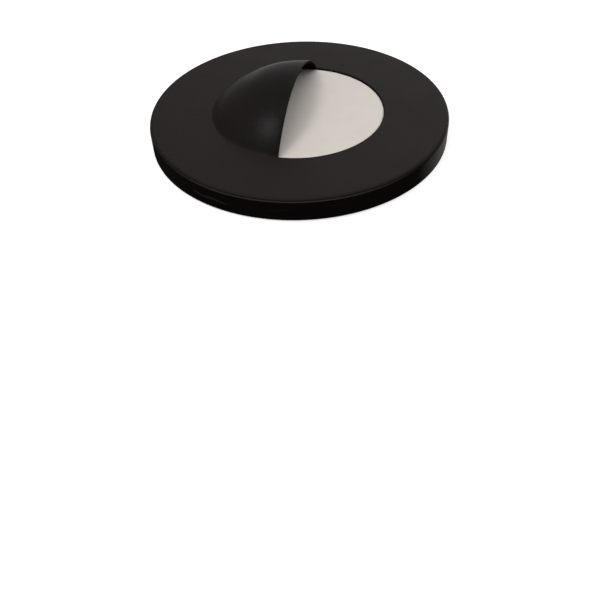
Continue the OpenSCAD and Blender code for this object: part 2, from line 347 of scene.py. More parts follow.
# %% [markdown]
# Three soft boxes light the scene. A wide one hangs overhead. A second wide one stands low behind the
# hood, which so throws a long soft shadow over the lens. A small one above it puts a dull patch of light
# low on the hood, beside its lip.

# %% Lamps
# Each lamp: its place, its size and its watts.
SOFTBOXES = {
    "overhead_box": ((-0.027, -0.255, 0.705), 1.3, 4.28),
    "wide_box": ((-0.386, 0.336, 0.477), 0.9, 0.7),
    "small_box": ((-0.096, 0.28, 0.634), 0.2, 0.98),
}
for name, (place, size, watts) in SOFTBOXES.items():
    lamp_data = bpy.data.lights.new(name, "AREA")
    lamp_data.shape = "SQUARE"
    lamp_data.size = size
    lamp_data.energy = watts
    lamp = bpy.data.objects.new(name, lamp_data)
    bpy.context.scene.collection.objects.link(lamp)
    lamp.location = place
    lamp.rotation_euler = (-Vector(place)).to_track_quat("-Z", "Y").to_euler()
print("lamps:", *SOFTBOXES)

# %% [markdown]
# ## Modelling by hand, in code
# Pieces are modelled with the same operators as at the desk: add a circle, select some edges, extrude,
# scale about the axis. In code the selecting has to be said in words, so `pick` selects what passes a
# test on its place, and `walk` extrudes the selected edges along a section, from point to point.

# %% Selecting and extruding
TINY = 0.002 * MM


def begin(name):
    """Takes the new primitive into edit mode, with its place in its mesh."""
    piece = bpy.context.object
    piece.name = name
    piece.data.name = name
    bpy.ops.object.transform_apply(location=True, rotation=True, scale=True)
    bpy.ops.object.mode_set(mode="EDIT")
    return piece


def middle(part):
    """The middle of a vertex, edge or face."""
    corners = [part.co] if isinstance(part, bmesh.types.BMVert) else [v.co for v in part.verts]
    return sum(corners, Vector()) / len(corners)


def reach(point):
    """Distance from the axis of the light."""
    return math.hypot(point.x, point.y)


def pick(kind, test):
    """Selects only the vertices, edges or faces whose middle passes the test."""
    bpy.ops.mesh.select_mode(type=kind)
    bpy.ops.mesh.select_all(action="DESELECT")
    mesh = bmesh.from_edit_mesh(bpy.context.edit_object.data)
    parts = {"VERT": mesh.verts, "EDGE": mesh.edges, "FACE": mesh.faces}[kind]
    for part in [part for part in parts if test(middle(part))]:
        part.select_set(True)
    bmesh.update_edit_mesh(bpy.context.edit_object.data)


def walk(section):
    """Extrudes the selected edges from the section's first point to each of the next."""
    for (radius, height), (next_radius, next_height) in zip(section, section[1:]):
        bpy.ops.mesh.extrude_edges_move(
            TRANSFORM_OT_translate={"value": (0, 0, next_height - height)})
        share = next_radius / radius
        bpy.ops.transform.resize(value=(share, share, 1), center_override=(0, 0, 0))


def arc(centre, radius, first, last, steps):
    """Points on an arc of a section, angles in degrees from outwards to upwards."""
    turns = [math.radians(first + (last - first) * i / steps) for i in range(steps + 1)]
    return [(centre[0] + radius * math.cos(t), centre[1] + radius * math.sin(t)) for t in turns]


def use_modifier(piece, kind, **settings):
    """Adds a modifier with these settings and applies it."""
    modifier = piece.modifiers.new(kind.lower(), kind)
    for name, value in settings.items():
        setattr(modifier, name, value)
    bpy.ops.object.modifier_apply(modifier=modifier.name)


def measure(piece):
    """Prints what a designer checks on a finished mesh."""
    mesh = bmesh.new()
    mesh.from_mesh(piece.data)
    open_edges = sum(len(edge.link_faces) != 2 for edge in mesh.edges)
    volume = mesh.calc_volume(signed=True) / MM ** 3
    xs, ys, zs = zip(*[v.co for v in mesh.verts])
    box = [round(limit(c) / MM, 2) for c in (xs, ys, zs) for limit in (min, max)]
    print(f"{piece.name}: {len(mesh.faces)} faces, {open_edges} open edges, "
          f"{volume:.0f} mm3, box {box}")
    mesh.free()


def leave(piece, smooth=40):
    """Back to object mode, with all edges flatter than this angle shaded smooth."""
    bpy.ops.object.mode_set(mode="OBJECT")
    bpy.ops.object.shade_smooth_by_angle(angle=math.radians(smooth))
    measure(piece)


print("TINY in mm:", TINY / MM)

# %% [markdown]
# Holes and bosses come from small tool solids, which a Boolean modifier joins to the piece or cuts out.
# Sharp edges are then found by the angle between their faces, and bevelled.

# %% Joining and cutting
SHARP = math.radians(35)


def station(ring, degrees):
    """A place on a ring round the axis."""
    return ring * math.cos(math.radians(degrees)), ring * math.sin(math.radians(degrees))


def combine(piece, operation, tool):
    """Joins a tool solid to the piece or cuts it out, and takes the tool away."""
    bpy.context.view_layer.objects.active = piece
    use_modifier(piece, "BOOLEAN", object=tool, operation=operation, solver="EXACT")
    bpy.data.objects.remove(tool)


def stud(place, low, high, radius, top_radius=None):
    """An upright round tool solid between two heights."""
    bpy.ops.mesh.primitive_cone_add(
        vertices=48, radius1=radius, radius2=top_radius or radius, depth=high - low,
        location=(*place, (low + high) / 2))
    return bpy.context.object


def block(x_low, x_high, y_low, y_high, low, high):
    """A tool solid with six flat sides."""
    bpy.ops.mesh.primitive_cube_add(
        size=1, location=((x_low + x_high) / 2, (y_low + y_high) / 2, (low + high) / 2),
        scale=(x_high - x_low, y_high - y_low, high - low))
    return bpy.context.object


def break_edges(test, width, steps=2):
    """Bevels the sharp edges whose middle passes the test, and counts them."""
    bpy.ops.mesh.select_mode(type="EDGE")
    bpy.ops.mesh.select_all(action="DESELECT")
    bpy.ops.mesh.edges_select_sharp(sharpness=SHARP)
    mesh = bmesh.from_edit_mesh(bpy.context.edit_object.data)
    sharp = [edge for edge in mesh.edges if edge.select]
    for edge in sharp:
        edge.select_set(test(middle(edge)))
    bmesh.update_edit_mesh(bpy.context.edit_object.data)
    count = sum(edge.select for edge in sharp)
    bpy.ops.mesh.bevel(offset=width, segments=steps, profile=0.5, affect="EDGES")
    return count


print("a station at 90 degrees on a ring of 1:", [round(c, 3) for c in station(1, 90)])

# %% [markdown]
# ## The trim: face ring and skirt
# On the real light a disc of 0.6 mm steel is drawn over a round die, so the face turns into the skirt in
# a small rolled edge. Here one circle at the hood's foot is extruded outwards over the face, round the
# roll and down the skirt. Extra loops close to each bend keep the flat faces flat under smooth shading.

# %% Face ring and skirt
box_low, box_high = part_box("eyelid_trim")
TRIM_R, SKIRT_Z = box_high.x, box_low.z
SHEET, ROLL_R, HOOD_RISE = 0.6 * MM, 1.0 * MM, 9.55 * MM
FACE_Z = box_high.z - HOOD_RISE
OPENING_R = TRIM_R - 16.25 * MM
HOOD_FOOT_R = OPENING_R + 0.35 * MM
ROOT_R = 0.4 * MM
STEPS_ROUND, KEEP_FLAT = 192, 0.15 * MM

hood_r = (HOOD_FOOT_R ** 2 + HOOD_RISE ** 2) / (2 * HOOD_RISE)
hood_z = FACE_Z + HOOD_RISE - hood_r
root_z = FACE_Z + ROOT_R
root_reach = math.sqrt((hood_r + ROOT_R) ** 2 - (root_z - hood_z) ** 2)

bpy.ops.mesh.primitive_circle_add(
    vertices=STEPS_ROUND, radius=root_reach, fill_type="NOTHING", location=(0, 0, FACE_Z))
trim = begin("eyelid_hood_trim")
roll_at = (TRIM_R - ROLL_R, FACE_Z - ROLL_R)
pick("EDGE", lambda at: True)
walk([(root_reach, FACE_Z),
      (root_reach + KEEP_FLAT, FACE_Z),
      (TRIM_R - ROLL_R - KEEP_FLAT, FACE_Z)]
     + arc(roll_at, ROLL_R, 90, 0, 8)
     + [(TRIM_R, FACE_Z - ROLL_R - KEEP_FLAT),
        (TRIM_R, SKIRT_Z + 2 * KEEP_FLAT),
        (TRIM_R, SKIRT_Z)])
print("hood sphere in mm:", round(hood_r / MM, 2), "centre", round(hood_z / MM, 2))

# %% [markdown]
# ## The trim: opening and hood
# Towards -Y the sheet simply ends at the round opening. Towards +Y it turns up in a tight bend and is
# stretched into half a dome. The half dome starts as a flat half disc, filled with an even grid of
# quads, and a Cast modifier then presses the grid onto the hood's sphere, as the punch of the press
# does with the sheet. A grid has no pole, so the crown, which lies right on the cut edge, stays clean.

# %% Opening and hood
HOOD_STEPS = STEPS_ROUND // 6


def at_root(at):
    return abs(reach(at) - root_reach) < 0.01 * MM and abs(at.z - FACE_Z) < TINY


pick("EDGE", lambda at: at_root(at) and at.y < 0)
walk([(root_reach, FACE_Z), (OPENING_R + 2 * KEEP_FLAT, FACE_Z), (OPENING_R, FACE_Z)])

touch_angle = math.degrees(math.atan2(hood_z - root_z, -root_reach))
root_bend = arc((root_reach, root_z), ROOT_R, -90, touch_angle, 4)
foot_r, foot_z = root_bend[-1]
print("root bend ends at", round(foot_r / MM, 3), round(foot_z / MM, 3))
pick("EDGE", lambda at: at_root(at) and at.y > 0)
walk(root_bend)

pick("VERT", lambda at: abs(reach(at) - foot_r) < TINY and abs(at.z - foot_z) < TINY
     and abs(at.y) < TINY)
bpy.ops.mesh.edge_face_add()
bpy.ops.mesh.select_mode(type="EDGE")
bpy.ops.mesh.subdivide(number_cuts=HOOD_STEPS - 1)
pick("EDGE", lambda at: abs(at.z - foot_z) < TINY
     and (abs(reach(at) - foot_r) < 0.01 * MM or abs(at.y) < TINY))
mesh = bmesh.from_edit_mesh(trim.data)
mesh.select_history.clear()
for vertex in mesh.verts:
    if (vertex.co - Vector((foot_r, 0, foot_z))).length < TINY:
        mesh.select_history.add(vertex)
bmesh.update_edit_mesh(trim.data)
bpy.ops.mesh.fill_grid(span=HOOD_STEPS)
bpy.ops.object.vertex_group_assign_new()
trim.vertex_groups[-1].name = "hood"
face_upwards()
bpy.ops.object.mode_set(mode="OBJECT")

press = bpy.data.objects.new("press", None)
bpy.context.scene.collection.objects.link(press)
press.location = (0, 0, hood_z)
bpy.context.view_layer.update()
use_modifier(trim, "CAST", cast_type="SPHERE", use_radius_as_size=False, size=hood_r, factor=1,
             object=press, vertex_group="hood")
bpy.data.objects.remove(press)
trim.vertex_groups.clear()
measure(trim)

# %% [markdown]
# ## The trim: thickness and soft edges
# Solidify gives the sheet its 0.6 mm inwards, so the outside stays where it was drawn. Powder coat
# rounds every cut edge, so the sharp edges get a small bevel. It is hardly wider than a hair, but it
# catches the thin line of light that tells of sheet metal.

# %% Thickness and edges
CUT_EDGE_R = 0.13 * MM
use_modifier(trim, "SOLIDIFY", thickness=SHEET, offset=-1, use_even_offset=True,
             use_quality_normals=True)
bpy.ops.object.mode_set(mode="EDIT")
bpy.ops.mesh.select_mode(type="EDGE")
bpy.ops.mesh.select_all(action="DESELECT")
bpy.ops.mesh.edges_select_sharp(sharpness=math.radians(60))
bpy.ops.mesh.bevel(offset=CUT_EDGE_R, segments=3, profile=0.5, affect="EDGES")
leave(trim)

# %% [markdown]
# ## Black powder coat
# Powder coat is sprayed on dry and baked. It lies thick and smooth on the flat ring and softly shining on
# the dome, and stays dry and dull on the skirt and inside the hood, where less powder lands. So the
# finish is two shaders, satin and matt, mixed by place. In the oven the coat runs down the dome and
# settles low beside its lip, so the roughness falls there, and the small box shows as a soft patch. The
# coat is one black, but its tones are painted shade: the dome is darker than the face, the skirt and the
# inside of the hood darker again, and the dome beside its lip darkest. Fine grain and a faint orange peel
# are bumps of a few hundredths of a millimetre. The press leaves pale rub lines on the skirt, drawn by
# noise that is squeezed in height, so it runs round the wall. Two short pale marks low on the front skirt
# and a long thin pale line along the near roll are painted highlights.

# %% Powder coat
GRAIN, PEEL, COAT_RELIEF = 0.22 * MM, 1.3 * MM, 0.045 * MM
COAT_GLOSS = 0.08
ROLL_FOOT, HOOD_START = 5.3 * MM, 6.7 * MM
RING_ROUGH, HOOD_ROUGH, SMOOTH_ROUGH, SKIRT_ROUGH = 0.5, 0.54, 0.33, 0.7
SMOOTH_Y, SMOOTH_Z = (7 * MM, 16 * MM), (11.5 * MM, 14 * MM)
# The coat is one black. The face has the lit tone, and the other tones are painted shade: the dome
# darker, the skirt and the inside of the hood darker again, the dome beside its lip darkest.
RING_TONE = (0.0154, 0.0121, 0.0111, 1)
LIP_SHADE_TONE = (0.0040, 0.0030, 0.0028, 1)
HOOD_SHADE_TONE = (0.0104, 0.0078, 0.0072, 1)
SKIRT_SHADE_TONE = (0.0076, 0.0060, 0.0056, 1)
RUB_AND_GLINT_TONE = (0.06, 0.057, 0.055, 1)
# Painted highlights: two short pale marks low on the front skirt, and a long thin pale line along the
# near roll.
PAINTED_GLINTS = ((156.5, 2.6, 1.4, 0.1), (163.0, 2.7, 1.6, 0.1), (186.0, 5.35, 18.0, 0.0))


def powder_coat():
    """Satin on the face and hood, matt on the skirt. A painted glint is (bearing, height, half, climb).
    """
    finish = Finish("black_powder_coat_look")
    y, height = finish.parts(finish.place)[1:]
    on_hood = finish.spread(height, FACE_Z, HOOD_START)
    grain = finish.noise(GRAIN, detail=2)
    peel = finish.noise(PEEL, detail=1)
    cloud = finish.noise(9 * MM, detail=3)
    lines = finish.noise(1, detail=3, rough=0.6, where=finish.squeezed(9 * MM, 0.33 * MM))
    # Pale rub lines round the skirt, to which the loop below adds the painted highlight marks.
    rubbed = finish.spread(lines, 0.62, 0.78) * 0.4 * (height < FACE_Z - 0.5 * MM)
    for degrees, level, half, climb in PAINTED_GLINTS:
        along = finish.along_ring(math.radians(degrees))
        mark = finish.near(along, 0, half * MM, half * MM)
        mark = mark * finish.near(height + along * climb, level * MM, 0.05 * MM, 0.12 * MM)
        rubbed = finish.most(rubbed, mark)
    # Painted shade: the dome's tone darkens towards its lip.
    hood_shade_tone = finish.blend(finish.spread(y, 2 * MM, 12 * MM), LIP_SHADE_TONE, HOOD_SHADE_TONE)
    satin_tone = finish.blend(on_hood, RING_TONE, hood_shade_tone)
    specks = finish.spread(grain, 0.45, 0.75, 0, 0.12)
    satin_tone = finish.blend(specks, satin_tone, grey(0.05, 0.04))
    satin_tone = finish.blend(rubbed * 0.6, satin_tone, RUB_AND_GLINT_TONE)
    hood_rough = finish.most(finish.spread(y, *SMOOTH_Y, SMOOTH_ROUGH, HOOD_ROUGH),
                             finish.spread(height, *SMOOTH_Z, SMOOTH_ROUGH, HOOD_ROUGH))
    satin_rough = finish.spread(on_hood, 0, 1, RING_ROUGH, hood_rough)
    satin_rough = satin_rough + finish.spread(cloud, 0.3, 0.7, -0.03, 0.03)
    bump = finish.bump(peel * 0.6 + grain * 0.4, COAT_RELIEF)
    satin = finish.shader(Base_Color=satin_tone, Roughness=satin_rough,
                          Specular_IOR_Level=COAT_GLOSS, Normal=bump)
    # Painted shade: the matt skirt and the inside of the hood take the darker skirt tone.
    shaded_matt_tone = finish.blend(rubbed, SKIRT_SHADE_TONE, RUB_AND_GLINT_TONE)
    matt = finish.shader(Base_Color=shaded_matt_tone, Roughness=SKIRT_ROUGH, Specular_IOR_Level=0.0,
                         Normal=bump)
    on_face = finish.spread(height, ROLL_FOOT, FACE_Z)
    wet_side = finish.spread(0 - y, 33.0 * MM, 37.8 * MM, 0.03, 0.8)
    from_centre = finish.add("VectorMath", {"operation": "DISTANCE"},
                             {0: finish.place, 1: (0, 0, hood_z)}, out="Value")
    outside = finish.spread(from_centre, hood_r - 0.5 * MM, hood_r - 0.35 * MM, 0.1, 1.0)
    behind_lip = finish.spread(y, 0.5 * MM, 3 * MM, 0.6, 1.0)
    high_up = finish.spread(height, 9 * MM, 13 * MM)
    satin_share = finish.most(on_face, wet_side) * outside
    satin_share = satin_share * finish.most(finish.most(behind_lip, high_up), 1 - on_hood)
    return finish.made(finish.add("MixShader", values={0: satin_share, 1: matt, 2: satin}))


trim.data.materials.append(powder_coat())
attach(trim, "trim")
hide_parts("eyelid_trim")
print("coat nodes:", len(trim.data.materials[0].node_tree.nodes))

# %% [markdown]
# ## The lens
# The diffuser is one moulded piece of opal acrylic shaped like a top hat. Its flange is clamped under the
# frame, and its flat face stands up in the opening, a little below the steel and with a thin dark gap
# round it. It is turned like a lathe part: a filled disc is the face, and its rim is walked round the
# soft edge, down the wall, out over the flange and back inside to the hollow behind the face.

# %% Lens
lens_low, lens_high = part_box("lens")
LENS_R, LENS_TOP = OPENING_R - 0.15 * MM, lens_high.z
LENS_WALL, LENS_EDGE_R = 1.2 * MM, 0.15 * MM
FLANGE_R, FLANGE_TOP = lens_high.x, lens_low.z + 1.0 * MM
MILK_THIN, MILK_THICK = (0.766, 0.708, 0.653, 1), (0.800, 0.743, 0.690, 1)
FLECK_TONE = (0.60, 0.55, 0.50, 1)
LIGHT_DEPTH = 1.5 * MM


def turned_piece(name, section):
    """Turns a closed piece: a filled disc at the section's first point, its rim walked along the rest."""
    radius, height = section[0]
    bpy.ops.mesh.primitive_circle_add(
        vertices=STEPS_ROUND, radius=radius, fill_type="NGON", location=(0, 0, height))
    piece = begin(name)
    pick("EDGE", lambda at: reach(at) > radius / 2)
    walk(section)
    bpy.ops.mesh.edge_face_add()
    face_outwards()
    return piece


lens = turned_piece("opal_diffuser", [
    (LENS_R - LENS_EDGE_R - KEEP_FLAT, LENS_TOP),
    *arc((LENS_R - LENS_EDGE_R, LENS_TOP - LENS_EDGE_R), LENS_EDGE_R, 90, 0, 5),
    (LENS_R, FLANGE_TOP + KEEP_FLAT),
    (LENS_R, FLANGE_TOP),
    (LENS_R + KEEP_FLAT, FLANGE_TOP),
    (FLANGE_R - KEEP_FLAT, FLANGE_TOP),
    *arc((FLANGE_R - KEEP_FLAT, FLANGE_TOP - KEEP_FLAT), KEEP_FLAT, 90, 0, 3)[1:],
    (FLANGE_R, lens_low.z),
    (LENS_R - LENS_WALL, lens_low.z),
    (LENS_R - LENS_WALL, LENS_TOP - LENS_WALL)])
leave(lens)


def opal_acrylic():
    finish = Finish("opal_acrylic")
    cloud = finish.noise(5 * MM, detail=4, rough=0.6)
    satin = finish.noise(0.18 * MM, detail=2)
    fleck = finish.spread(finish.noise(0.5 * MM, detail=3), 0.66, 0.76) * 0.25
    milk = finish.blend(finish.spread(cloud, 0.3, 0.7), MILK_THIN, MILK_THICK)
    return finish.surface(
        Base_Color=finish.blend(fleck, milk, FLECK_TONE),
        Roughness=finish.spread(satin, 0.2, 0.8, 0.40, 0.52),
        IOR=1.49,
        Subsurface_Weight=0.15,
        Subsurface_Radius=(1.0, 0.9, 0.8),
        Subsurface_Scale=LIGHT_DEPTH,
        Normal=finish.bump(satin, 0.02 * MM, 0.7))


lens.data.materials.append(opal_acrylic())
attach(lens, "body")
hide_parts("lens")
print("gap round the lens in mm:", round((OPENING_R - LENS_R) / MM, 2))

# %% [markdown]
# ## The base pan
# The back of the light is an aluminium casting. Its section is turned as the lens was: from the back
# face, round the outer edge, up and over the wall, and down to the floor, with a fillet at the foot of
# the wall, because molten metal doesn't run into sharp corners.

# %% Base pan
pan_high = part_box("base_pan")[1]
PAN_R, PAN_RIM = pan_high.y, pan_high.z
PAN_IN_R = PAN_R - 1.2 * MM
PAN_FLOOR = 1.0 * MM
BACK_EDGE_R, RIM_EDGE_R, WALL_FOOT_R = 0.3 * MM, 0.1 * MM, 0.4 * MM
FIXING_RING, FIXING_ANGLES = PAN_IN_R - 4.4 * MM, (90, 210, 330)
BOSS_R, BOSS_TOP, HOLE_R, SINK_R = 4.6 * MM, 2.8 * MM, 1.75 * MM, 3.3 * MM
SCREW_RING, SCREW_ANGLES = PAN_IN_R - 2.1 * MM, (0, 120, 240)
POST_R, POST_TOP, PILOT_R, PILOT_END = 2.3 * MM, 3.2 * MM, 0.85 * MM, 0.9 * MM
SOCKET_X, SOCKET_ROOM = -32.4 * MM, (2.3 * MM, 3.8 * MM)
CENTRE_MARK = 0.6 * MM
BROKEN_WITHIN, BROKEN_EDGE = PAN_IN_R - 0.6 * MM, 0.1 * MM
PAST = 0.5 * MM

pan = turned_piece("cast_base_pan", [
    (PAN_R - BACK_EDGE_R - KEEP_FLAT, 0),
    *arc((PAN_R - BACK_EDGE_R, BACK_EDGE_R), BACK_EDGE_R, -90, 0, 4),
    *arc((PAN_R - RIM_EDGE_R, PAN_RIM - RIM_EDGE_R), RIM_EDGE_R, 0, 90, 2),
    *arc((PAN_IN_R + RIM_EDGE_R, PAN_RIM - RIM_EDGE_R), RIM_EDGE_R, 90, 180, 2),
    *arc((PAN_IN_R - WALL_FOOT_R, PAN_FLOOR + WALL_FOOT_R), WALL_FOOT_R, 0, -90, 4)])
bpy.ops.object.mode_set(mode="OBJECT")
measure(pan)

# %% [markdown]
# Bosses for the wall screws and posts for the frame screws are joined on first. Then all holes and the
# window for the socket are cut, with tool solids that reach a little past the faces they cut, because two
# faces in one plane leave a Boolean with no clear inside. Corners closer than 4 micrometres are merged, a
# bevel breaks the machined edges, and weighted normals keep the flats flat.

# %% Bosses, posts and holes
for degrees in FIXING_ANGLES:
    combine(pan, "UNION", stud(station(FIXING_RING, degrees), PAN_FLOOR / 2, BOSS_TOP, BOSS_R))
for degrees in SCREW_ANGLES:
    combine(pan, "UNION", stud(station(SCREW_RING, degrees), PAN_FLOOR / 2, POST_TOP, POST_R))
for degrees in FIXING_ANGLES:
    place = station(FIXING_RING, degrees)
    combine(pan, "DIFFERENCE", stud(place, -PAST, BOSS_TOP, HOLE_R))
    sink = stud(place, BOSS_TOP - (SINK_R - HOLE_R), BOSS_TOP + PAST, HOLE_R, SINK_R + PAST)
    combine(pan, "DIFFERENCE", sink)
for degrees in SCREW_ANGLES:
    pilot = stud(station(SCREW_RING, degrees), PILOT_END, POST_TOP + PAST, PILOT_R)
    combine(pan, "DIFFERENCE", pilot)
half_x, half_y = SOCKET_ROOM
combine(pan, "DIFFERENCE", block(SOCKET_X - half_x, SOCKET_X + half_x, -half_y, half_y,
                                 -PAST, PAN_FLOOR + PAST))
combine(pan, "DIFFERENCE", stud((0, 0), -PAST, CENTRE_MARK, CENTRE_MARK + PAST, TINY))
measure(pan)

bpy.ops.object.mode_set(mode="EDIT")
bpy.ops.mesh.select_all(action="SELECT")
bpy.ops.mesh.remove_doubles(threshold=2 * TINY)
broken = break_edges(lambda at: reach(at) < BROKEN_WITHIN, BROKEN_EDGE)
leave(pan)
use_modifier(pan, "WEIGHTED_NORMAL", keep_sharp=True)
print("edges broken on the pan:", broken)

# %% [markdown]
# The casting is blasted all over, which gives an even dull grain. Then its back is faced on a lathe,
# which leaves the small centre mark, fine rings at the feed of the tool and wider bands where the tool
# sprang a little. The bands are noise along the radius alone. A height test tells the faced back from
# the rest, and a few slanting scratches come from handling.

# %% Cast aluminium
FACED_Z = 0.06 * MM
FEED = 0.32 * MM


def cast_aluminium():
    finish = Finish("cast_aluminium_look")
    faced = finish.parts(finish.place)[2] < FACED_Z
    radius = finish.radius()
    blasted = finish.noise(0.16 * MM, detail=3, rough=0.6)
    flow = finish.noise(5 * MM, detail=3)
    rings = finish.maths("SINE", radius * (2 * math.pi / FEED))
    from_middle = finish.add("CombineXYZ", values={0: radius})
    bands = finish.noise(1.6 * MM, detail=5, rough=0.75, where=from_middle)
    streaks = finish.noise(1, detail=3, rough=0.7, where=finish.streaks(14 * MM, 0.3 * MM))
    scratches = finish.spread(streaks, 0.66, 0.70) * faced
    turned = rings * 0.12 + bands * 1.2 + blasted * 0.1
    grain = (1 - faced) * blasted + faced * turned - scratches * 0.4
    cast_tone = finish.blend(flow, (0.46, 0.47, 0.485, 1), (0.56, 0.565, 0.575, 1))
    faced_tone = finish.blend(finish.spread(bands, 0.3, 0.7),
                              (0.52, 0.525, 0.53, 1), (0.74, 0.745, 0.75, 1))
    tone = finish.blend(faced, cast_tone, faced_tone)
    polish = faced * finish.spread(bands, 0.3, 0.7, 0.24, 0.08)
    return finish.surface(Base_Color=finish.blend(scratches * 0.5, tone, grey(0.8)), Metallic=0.9,
                          Roughness=finish.spread(flow, 0.2, 0.8, 0.50, 0.60) - polish,
                          Normal=finish.bump(grain, 0.02 * MM, 0.8))


pan.data.materials.append(cast_aluminium())
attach(pan, "body")
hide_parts("base_pan")
print("rings across the back:", round(PAN_R / FEED))

# %% [markdown]
# ## Finishes of the hidden pieces
# The pieces between the trim and the pan keep the shapes of the construction model, and each gets the
# finish that it would have on the bench. All patterns are made from the place on the piece: a height
# picks out an edge or a face, and a distance from the middle or from the nearest of a row of equal parts
# picks out a track, a pad or a window.
# The frame is moulded in black nylon in a spark-eroded mould, so it is matt with a fine even grain and
# pale flow clouds. The gasket is closed-cell foam: a Voronoi pattern, deep in the middle of each cell,
# and painted darker there as shade in the pits.

# %% Black moulding and foam
def black_moulding():
    finish = Finish("black_moulding_look")
    eroded = finish.noise(0.09 * MM, detail=2)
    flow = finish.noise(4 * MM, detail=4, rough=0.6)
    tone = finish.blend(finish.spread(flow, 0.35, 0.75),
                        (0.017, 0.017, 0.018, 1), (0.028, 0.028, 0.03, 1))
    return finish.surface(Base_Color=tone, Roughness=finish.spread(flow, 0.2, 0.8, 0.48, 0.62),
                          Normal=finish.bump(eroded, 0.012 * MM, 0.6))


def foam():
    finish = Finish("foam_look")
    cells = finish.cells(0.14 * MM)
    # Painted shade: the tone darkens towards the deep middle of each cell.
    tone = finish.blend(finish.spread(cells, 0.1, 0.6),
                        (0.02, 0.02, 0.021, 1), (0.065, 0.065, 0.068, 1))
    return finish.surface(Base_Color=tone, Roughness=0.95,
                          Normal=finish.bump(cells, 0.05 * MM, 0.8))


print("written:", black_moulding.__name__, foam.__name__)

# %% [markdown]
# The guide is polished clear acrylic. Its back is etched with a grid of small white dots, which throw the
# light forwards. The dots grow towards the middle, where less light is left. The film behind it is
# soft white polyester with a faint ripple, and the tape is a grey filled gum with a net in it.

# %% Guide, film and tape
DOT_PITCH = 1.0 * MM
GUIDE_BACK, GUIDE_R = 1.25 * MM, 23.6 * MM


def clear_acrylic():
    finish = Finish("clear_acrylic_look")
    x, y, height = finish.parts(finish.place)
    across = finish.maths("FLOORED_MODULO", x, DOT_PITCH) - DOT_PITCH / 2
    along = finish.maths("FLOORED_MODULO", y, DOT_PITCH) - DOT_PITCH / 2
    away = finish.maths("SQRT", across * across + along * along)
    dot_r = finish.spread(finish.radius(), 0, GUIDE_R, 0.36 * MM, 0.14 * MM)
    etched = (away < dot_r) * (height < GUIDE_BACK)
    smear = finish.noise(8 * MM, detail=2)
    return finish.surface(
        Base_Color=finish.blend(etched, (0.90, 0.95, 0.96, 1), (0.97, 0.97, 0.96, 1)),
        Roughness=etched * 0.55 + finish.spread(smear, 0.3, 0.7, 0.03, 0.07),
        IOR=1.49, Transmission_Weight=0.85)


def white_film():
    finish = Finish("white_film_look")
    ripple = finish.noise(3.5 * MM, detail=2)
    fleck = finish.noise(0.3 * MM, detail=2)
    tone = finish.blend(fleck, (0.84, 0.84, 0.83, 1), (0.88, 0.88, 0.87, 1))
    return finish.surface(Base_Color=tone, Roughness=finish.spread(fleck, 0, 1, 0.45, 0.6),
                          Normal=finish.bump(ripple, 0.03 * MM, 0.5))


def grey_tape():
    finish = Finish("grey_tape_look")
    net = finish.cells(0.45 * MM)
    speck = finish.noise(0.2 * MM, detail=3)
    tone = finish.blend(finish.spread(speck, 0.35, 0.7), (0.40, 0.42, 0.47, 1), (0.50, 0.52, 0.56, 1))
    return finish.surface(Base_Color=tone, Roughness=0.85,
                          Normal=finish.bump(net + speck * 0.3, 0.03 * MM, 0.6))


print("dots across the guide:", round(2 * GUIDE_R / DOT_PITCH))

# %% [markdown]
# The board is fibreglass under a white mask. Two copper rings feed the strings of LEDs and show under
# the mask as low ridges of a warmer white. Each LED stands on two tinned pads, and the cut rim of the
# board shows bare straw-coloured fibreglass.

# %% Circuit board
LEDS, LED_FIRST = 18, math.radians(10)
BOARD_TOP = 1.95 * MM
TRACK_RADII = (26.0 * MM, 29.4 * MM)
TRACK_HALF, SPUR_HALF = 0.3 * MM, 0.12 * MM
SPUR_RING, SPUR_REACH = 25.2 * MM, 0.9 * MM
PAD_AWAY, PAD_HALF, PAD_REACH = 1.35 * MM, 0.3 * MM, 0.45 * MM
LED_RING = 24.5 * MM


def white_board():
    finish = Finish("white_board_look")
    height = finish.parts(finish.place)[2]
    radius = finish.radius()
    face = height > BOARD_TOP - 0.03 * MM
    away = finish.size_of(finish.along_ring(LED_FIRST, LEDS))
    inner, outer = [finish.near(radius, ring, TRACK_HALF, 0.05 * MM) for ring in TRACK_RADII]
    spurs = finish.near(away, PAD_AWAY, SPUR_HALF, 0.04 * MM)
    spurs = spurs * finish.near(radius, SPUR_RING, SPUR_REACH, 0.05 * MM)
    copper = finish.most(finish.most(inner, outer), spurs)
    pads = face * finish.near(away, PAD_AWAY, PAD_HALF, 0.03 * MM)
    pads = pads * finish.near(radius, LED_RING, PAD_REACH, 0.03 * MM)
    weave = finish.noise(0.25 * MM, detail=2)
    mask = finish.blend(copper, (0.80, 0.80, 0.775, 1), (0.72, 0.70, 0.64, 1))
    bare = finish.blend(weave, (0.52, 0.47, 0.30, 1), (0.64, 0.60, 0.42, 1))
    tone = finish.blend(face, bare, finish.blend(pads, mask, (0.62, 0.62, 0.60, 1)))
    return finish.surface(Base_Color=tone, Metallic=pads * 0.9,
                          Roughness=0.45 - pads * 0.2 + (1 - face) * 0.35,
                          Normal=finish.bump(copper + weave * 0.06, 0.05 * MM, 0.6))


print("pads on the board:", 2 * LEDS)

# %% [markdown]
# A side-facing LED is a white moulded box whose window, full of yellow phosphor, looks at the rim of the
# guide, and whose two ends are tinned. The same test by radius and by distance from the middle of the
# part finds the window and the ends on all eighteen.

# %% LED packages
WINDOW_R = 24.0 * MM
WINDOW_MIDDLE, WINDOW_HALF, WINDOW_REACH = 2.42 * MM, 0.26 * MM, 0.85 * MM
ENDS_FROM = 1.22 * MM


